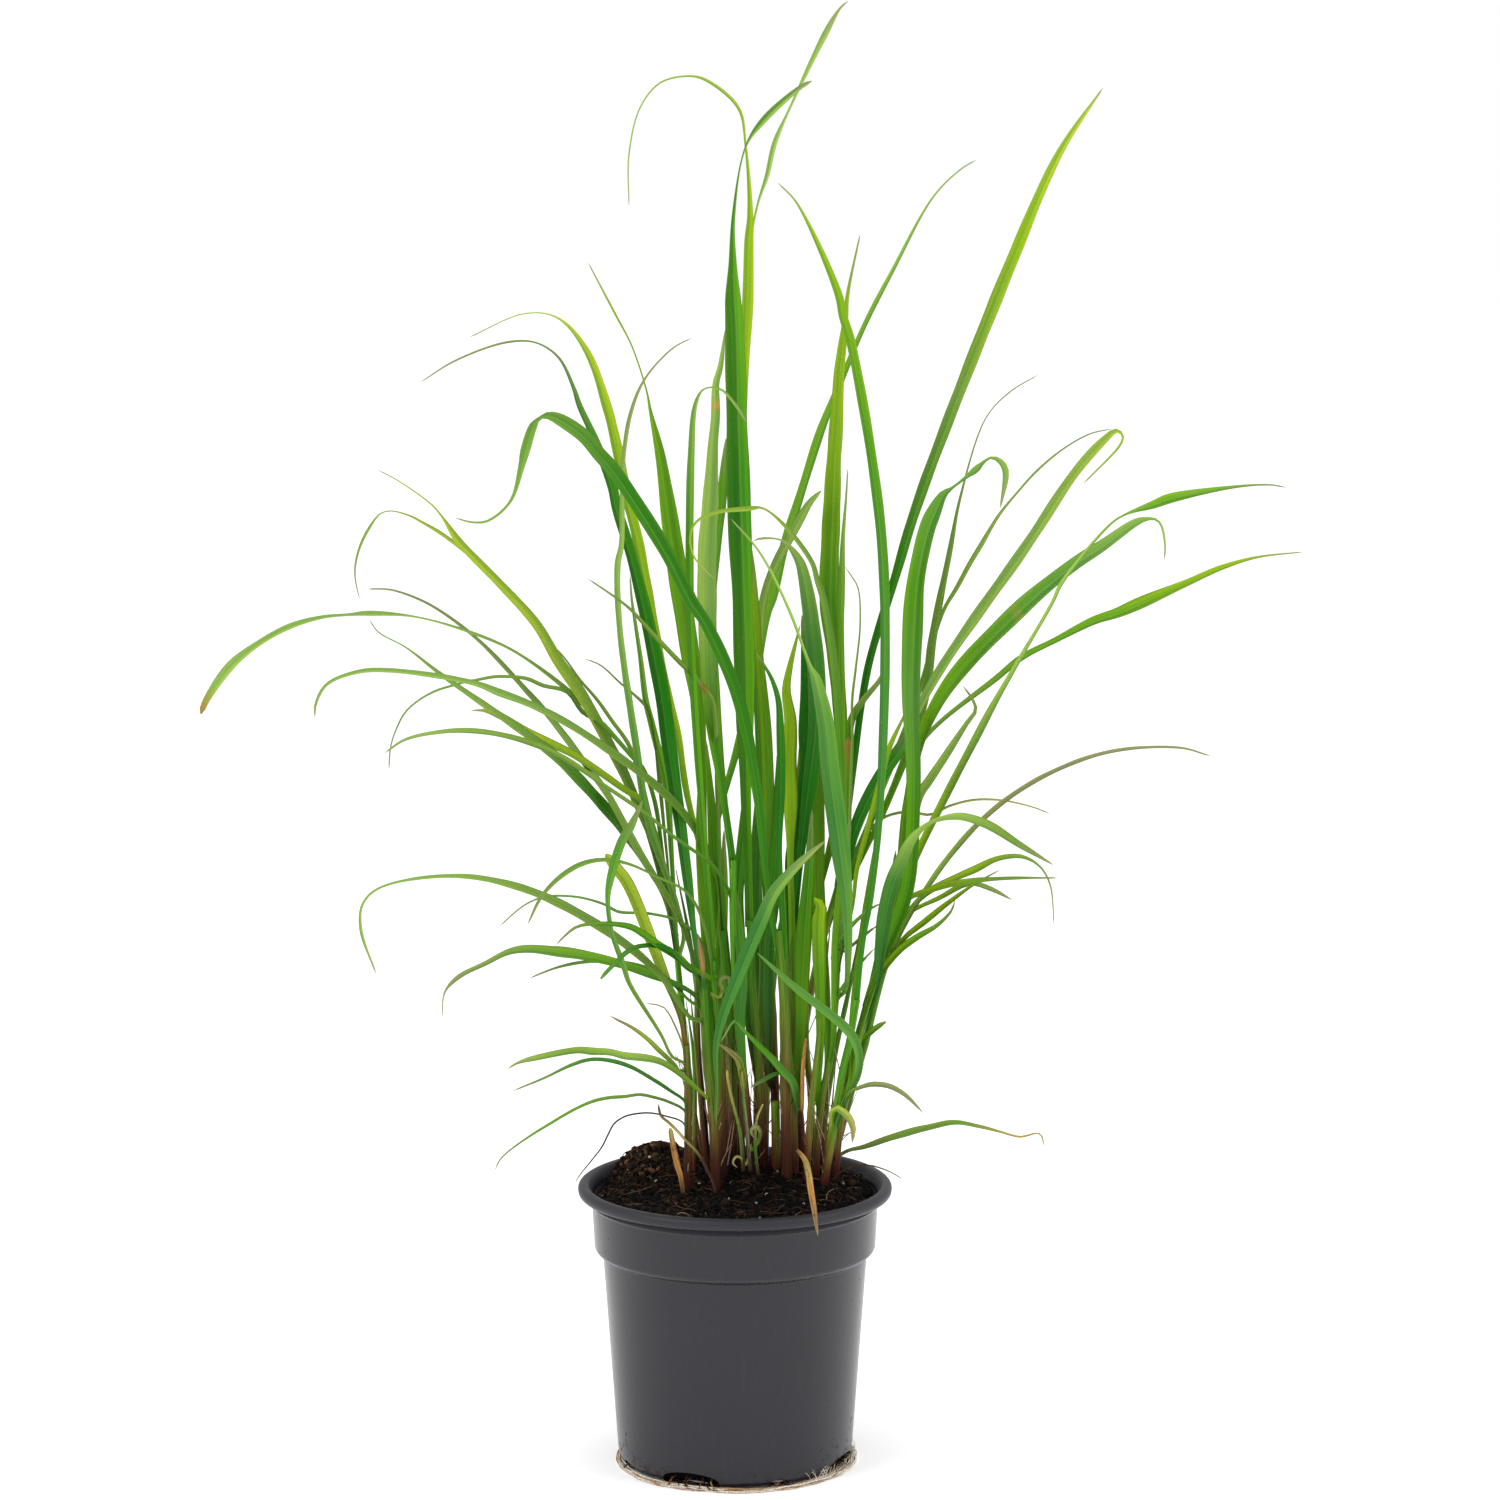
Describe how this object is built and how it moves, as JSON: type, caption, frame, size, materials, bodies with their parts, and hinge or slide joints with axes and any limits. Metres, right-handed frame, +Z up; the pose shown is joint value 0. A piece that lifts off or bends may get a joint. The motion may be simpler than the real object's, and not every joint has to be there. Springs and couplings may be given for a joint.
{
  "type": "potted lemongrass",
  "caption": "Clump of long arching grass leaves on reddish stems, growing in a soil-filled round nursery pot with a rolled lip; stands on its flat base.",
  "frame": {"origin": "centre of the flat boss under the pot, on the surface that it stands on", "axes": "+Z up along the pot's axis, the plant's height; -Y towards the pictured front"},
  "size_m": [0.461, 0.2485, 0.5991],
  "materials": {
    "pot_plastic": "satin",
    "soil": "matte",
    "roots": "matte",
    "stem": "satin",
    "leaf_green": "satin",
    "leaf_dark": "satin",
    "leaf_yellow_green": "satin",
    "leaf_blue_green": "satin",
    "leaf_olive": "satin"
  },
  "bodies": {
    "root": {"pot": "pot_plastic", "soil": "soil", "root_ring": "roots", "stem_01": "stem", "stem_02": "stem", "stem_03": "stem", "stem_04": "stem", "stem_05": "stem", "stem_06": "stem", "stem_07": "stem", "stem_08": "stem", "stem_09": "stem", "stem_10": "stem", "stem_11": "stem", "stem_12": "stem", "stem_13": "stem", "stem_14": "stem", "stem_15": "stem", "stem_16": "stem", "leaf_right_of_centre": "leaf_green", "leaf_right_tall": "leaf_green", "leaf_small_hook": "leaf_green", "leaf_left_upright": "leaf_green", "leaf_far_left": "leaf_green", "leaf_low_hook": "leaf_green", "leaf_low_left": "leaf_green", "leaf_right_wide": "leaf_green", "leaf_right_thin": "leaf_green", "leaf_right_broad": "leaf_green", "leaf_far_right": "leaf_green", "leaf_base_right": "leaf_green", "leaf_centre_tall": "leaf_dark", "leaf_lean_thin": "leaf_dark", "leaf_left_dark": "leaf_dark", "leaf_left_bent": "leaf_dark", "leaf_left_sweep": "leaf_dark", "leaf_centre_yellow_arch": "leaf_yellow_green", "leaf_upright_spear": "leaf_yellow_green", "leaf_bright_loop": "leaf_yellow_green", "leaf_left_yellow": "leaf_yellow_green", "leaf_left_wide": "leaf_yellow_green", "leaf_left_forked": "leaf_yellow_green", "leaf_pale_dying": "leaf_yellow_green", "leaf_base_left": "leaf_yellow_green", "leaf_right_hooked": "leaf_yellow_green", "leaf_far_right_upper": "leaf_yellow_green", "leaf_pale_left_of_centre": "leaf_blue_green", "leaf_blue_arch": "leaf_blue_green", "leaf_front_folded": "leaf_blue_green", "leaf_front_cross": "leaf_blue_green", "leaf_front_bent": "leaf_blue_green", "leaf_left_arch": "leaf_blue_green", "leaf_left_low_arch": "leaf_blue_green", "leaf_right_blue_arch": "leaf_blue_green", "leaf_top_spear": "leaf_olive", "leaf_left_olive": "leaf_olive", "leaf_low_arch": "leaf_olive", "leaf_low_olive_hook": "leaf_olive", "leaf_right_olive_arch": "leaf_olive"}
  },
  "joints": []
}
